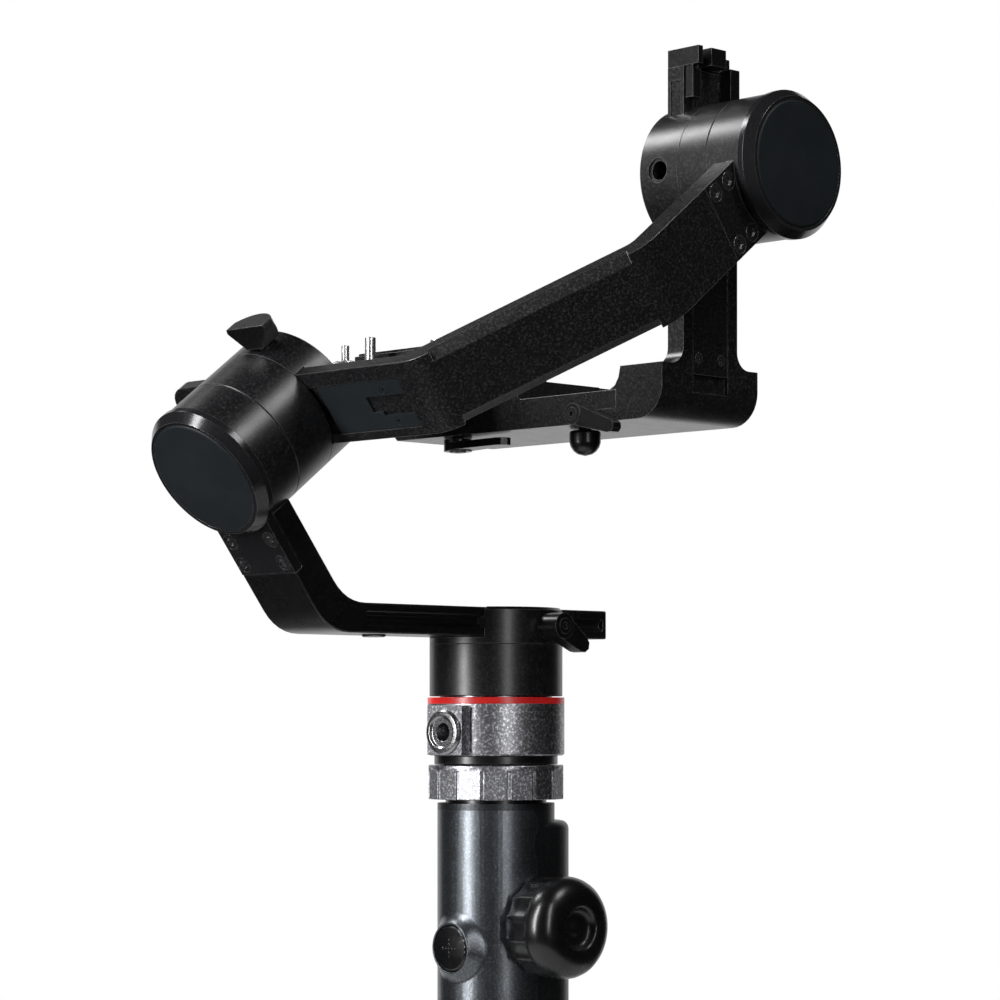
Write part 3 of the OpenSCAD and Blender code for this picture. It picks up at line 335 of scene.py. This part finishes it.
def add_button_flare():
    """Rim that runs out of the handle's round surface up to the thumb button."""
    handle_r, foot_r, lip_r = 20.9, 12.8, 9.0
    lip_y = -22.75
    above_skin = 0.02
    steps, steepness = 72, 1.8
    rows = []
    for i in range(10):
        r = foot_r - (foot_r - lip_r) * i / 9
        rise = ((foot_r - r) / (foot_r - lip_r)) ** steepness
        row = []
        for x, z in circle(r, steps):
            skin = -math.sqrt(handle_r**2 - x**2) - above_skin
            row.append((x * MM, (skin + (lip_y - skin) * rise) * MM, (BUTTON_Z + z) * MM))
        rows.append(row)
    rounded_lip = ((8.8, -0.12), (8.6, -0.08), (8.45, 0.1), (8.42, 3))
    for r, back in rounded_lip:
        rows.append([(x * MM, (lip_y + back) * MM, (BUTTON_Z + z) * MM) for x, z in circle(r, steps)])
    flare = grid_piece("button_flare", rows, gunmetal, "handle", 60)
    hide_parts("button_bezel")


def add_button_dots():
    """Cross of pale dots printed on the thumb button."""
    gap, radius, thickness, face_y = 1.5, 0.32, 0.1, -23.49
    work = bmesh.new()
    facing_out = Matrix.Rotation(math.pi / 2, 4, "X")
    for i in range(-2, 3):
        for x, z in {(i * gap, 0), (0, i * gap)}:
            place = Matrix.Translation(Vector((x, face_y, BUTTON_Z + z)) * MM)
            bmesh.ops.create_cone(
                work, cap_ends=True, segments=16, radius1=radius * MM, radius2=radius * MM,
                depth=thickness * MM, matrix=place @ facing_out,
            )
    mesh = bpy.data.meshes.new("button_dots")
    work.to_mesh(mesh)
    work.free()
    obj = bpy.data.objects.new("button_dots", mesh)
    bpy.context.scene.collection.objects.link(obj)
    obj.data.materials.append(dot_white)
    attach(obj, "thumb_button")


def add_knob():
    """Follow knob: scalloped grip behind a rounded, dished face."""
    knob_x, knob_z = 21.7, 128.8
    grips, cutter_at, cutter_r, grip_r = 14, 25.6, 9, 17.6
    steps = grips * 14
    # radius and height of each ring, from the middle of the dished face over the rounded rim
    face = [
        (0.001, 18.4), (1.9, 18.4), (2.25, 18.25), (2.5, 17.7), (3.1, 17.45), (4.4, 17.5), (5.7, 17.75),
        (6.5, 18.3), (7.0, 19.2), (7.4, 20.0), (8.0, 20.45), (9.2, 20.6), (11.0, 20.45), (12.8, 20.0),
        (14.4, 19.2), (15.8, 18.1), (16.9, 16.7), (17.6, 15.0), (17.95, 13.2), (18.0, 11.8),
        (17.9, 11.0), (17.6, 10.6),
    ]
    rows = [[(x, y, z) for y, z in circle(r, steps)] for r, x in face]
    # height of each ring on the grip, and how deep the finger scallops are there
    grip = [
        (10.3, 0), (10.0, 0.25), (9.6, 0.7), (9.1, 0.95), (8.5, 1), (5, 1), (0.9, 1), (0.3, 0.9),
    ]
    foot_x, foot_step = 0.5, 0.5
    for x, depth in grip:
        row = []
        for j in range(steps):
            turn = 2 * math.pi * j / steps
            offset = (turn + math.pi / grips) % (2 * math.pi / grips) - math.pi / grips
            reach = cutter_r**2 - (cutter_at * math.sin(offset)) ** 2
            r = grip_r
            if reach > 0:
                r -= depth * max(0, grip_r - (cutter_at * math.cos(offset) - math.sqrt(reach)))
            if x < foot_x:
                r -= foot_step
            row.append((x, r * math.cos(turn), r * math.sin(turn)))
        rows.append(row)
    for r in (15.9, 0.001):
        rows.append([(0, y, z) for y, z in circle(r, steps)])
    placed = [[((knob_x + x) * MM, y * MM, (knob_z + z) * MM) for x, y, z in row] for row in rows]
    knob = grid_piece("knob_form", placed, gloss_black, "follow_knob", 40)
    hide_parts("follow_knob")


def finish_node(node, material):
    obj = frame["nodes"][node]
    obj.data.materials.clear()
    obj.data.materials.append(material)


# For each material, its nodes and the millimetres by which their edges are rounded; 0 leaves the CAD mesh
finishes = {
    gunmetal: {"handle_rear_shell": 0.25},
    dark_gunmetal: {"handle_front_shell": 0.25},
    black_plastic: {"battery_tray": 0, "base_cap": 0.4, "knob_boss": 0, "riser_plate": 0.4},
    black_metal: {
        "head_collar": 0.3, "pan_lever": 0.4, "pan_arm": 0.5, "roll_lever": 0.4,
        "tilt_lever": 0.4, "rail_end_stop": 0.5, "plate_lever": 0.35, "safety_lever": 0.35,
        "safety_knob": 0.3, "camera_plate": 0.4,
    },
    motor_metal: {
        "pan_clamp": 0.35, "pan_rotor_housing": 0.3, "roll_motor_housing": 0.3, "roll_rotor_housing": 0.3,
        "roll_clamp": 0.35, "tilt_motor_housing": 0.3, "tilt_rotor_housing": 0.3, "tilt_clamp": 0.35,
    },
    speckled_metal: {"lock_ring": 0.3, "trigger": 0.4, "pan_motor_base": 0.35},
    cradle_metal: {
        "roll_arm": 0.6, "camera_bracket": 0.5, "rail_strip": 0.15, "quick_release_base": 0.5,
    },
    rubber: {"roll_cap_disc": 0.3, "tilt_cap_disc": 0.3, "roll_arm_stop": 0.15},
    gloss_black: {"thumb_button": 0.15},
    red_enamel: {"accent_ring": 0.15},
    steel: {
        "trigger_pin": 0, "pan_bearings": 0, "pan_shaft": 0, "roll_bearings": 0, "roll_shaft": 0,
        "tilt_bearings": 0, "tilt_shaft": 0, "camera_screw": 0.15, "d_ring": 0.15,
    },
    dark_steel: {
        "pan_magnets": 0, "roll_magnets": 0, "tilt_magnets": 0,
        "accessory_insert": 0.2, "pan_stop_screw": 0.3, "pan_arm_screws": 0.12, "tilt_arm_screws": 0.12,
    },
    copper: {"pan_stator": 0, "roll_stator": 0, "tilt_stator": 0},
    brass: {"tripod_insert": 0.2},
    board_green: {"control_board": 0},
    cell_blue: {"battery_cells": 0},
}

finished = {}
for material, nodes in finishes.items():
    for node, width in nodes.items():
        if width:
            finished[node] = softened(node, width)
            finished[node].data.materials.append(material)
        else:
            finish_node(node, material)

# Polished rims round the two motor caps, and the bare steel post on the camera plate
post_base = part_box("camera_plate")[1][2] - POST_HEIGHT
refinish(
    finished["roll_motor_housing"], bezel_metal,
    lambda place: (place - MOTOR_CENTRE).dot(ROLL_AXIS) < ROLL_RIM,
)
refinish(finished["tilt_motor_housing"], bezel_metal, lambda place: place.x > TILT_RIM)
refinish(finished["camera_plate"], steel, lambda place: place.z > post_base)

add_button_flare()
add_button_dots()
add_knob()


# ---------- floor, light and camera ----------


def area_light(name, place, target, size, power, seen=True):
    """A rectangular light of so many metres and watts, turned to face the target."""
    data = bpy.data.lights.new(name, "AREA")
    data.shape = "RECTANGLE"
    data.size, data.size_y = size
    data.energy = power
    light = bpy.data.objects.new(name, data)
    light.location = place
    light.rotation_euler = (Vector(target) - Vector(place)).to_track_quat("-Z", "Y").to_euler()
    light.visible_camera = seen
    bpy.context.scene.collection.objects.link(light)


def add_floor():
    radius, drop = 0.24, 0.002
    work = bmesh.new()
    bmesh.ops.create_circle(work, cap_ends=True, segments=96, radius=radius)
    mesh = bpy.data.meshes.new("floor")
    work.to_mesh(mesh)
    work.free()
    floor = bpy.data.objects.new("floor", mesh)
    floor.location = (0, 0, -drop)
    bpy.context.scene.collection.objects.link(floor)
    m = Nodes("floor_paper")
    clouds = m.spread(m.noise(8), 0.3, 0.7)
    m.join(m.blend(clouds, (0.80, 0.80, 0.80), (0.84, 0.84, 0.84)), m.shader.inputs["Base Color"])
    m.shader.inputs["Roughness"].default_value = 0.9
    floor.data.materials.append(m.material)


def add_world():
    """White behind the part, and very little light from all round."""
    world = bpy.data.worlds.new("studio")
    bpy.context.scene.world = world
    world.use_nodes = True
    tree = world.node_tree
    tree.nodes.clear()
    path = tree.nodes.new("ShaderNodeLightPath")
    seen = tree.nodes.new("ShaderNodeBackground")
    seen.inputs["Color"].default_value = (1, 1, 1, 1)
    lighting = tree.nodes.new("ShaderNodeBackground")
    lighting.inputs["Color"].default_value = (1, 1, 1, 1)
    lighting.inputs["Strength"].default_value = 0.012
    mix = tree.nodes.new("ShaderNodeMixShader")
    output = tree.nodes.new("ShaderNodeOutputWorld")
    tree.links.new(path.outputs["Is Camera Ray"], mix.inputs["Fac"])
    tree.links.new(lighting.outputs[0], mix.inputs[1])
    tree.links.new(seen.outputs[0], mix.inputs[2])
    tree.links.new(mix.outputs[0], output.inputs["Surface"])


def add_camera():
    data = bpy.data.cameras.new("photo_camera")
    data.lens = CAMERA_LENS
    data.sensor_width = 36
    data.shift_y = CAMERA_SHIFT_Y
    camera = bpy.data.objects.new("photo_camera", data)
    s, c = math.sin(CAMERA_AZIMUTH), math.cos(CAMERA_AZIMUTH)
    camera.location = (
        CAMERA_DISTANCE * s + CAMERA_SIDESTEP * c,
        -CAMERA_DISTANCE * c + CAMERA_SIDESTEP * s,
        CAMERA_HEIGHT,
    )
    camera.rotation_euler = (math.pi / 2, 0, CAMERA_AZIMUTH)
    bpy.context.scene.collection.objects.link(camera)
    bpy.context.scene.camera = camera


add_floor()
add_world()
add_camera()
# Two tall strips make the upright highlights on the grip and motors; two soft boxes light the motors' tops
area_light("key_left", (-0.25, -1.28, 0.6), (0, 0, 0.25), (0.2, 1.3), 26)
area_light("fill_right", (1.22, -0.56, 0.6), (0, 0, 0.25), (0.07, 1.2), 6)
area_light("upper_right", (0.84, 0.12, 1.22), (0, -0.1, 0.31), (0.34, 0.34), 4.5)
area_light("upper_left", (-0.75, -0.35, 1.2), (0.1, 0, 0.38), (0.3, 0.3), 6)
area_light("backdrop", (-1.0, 1.0, 0.35), (0, 0, 0.3), (2.6, 1.8), 12, seen=False)
bpy.context.scene.view_settings.view_transform = "Standard"
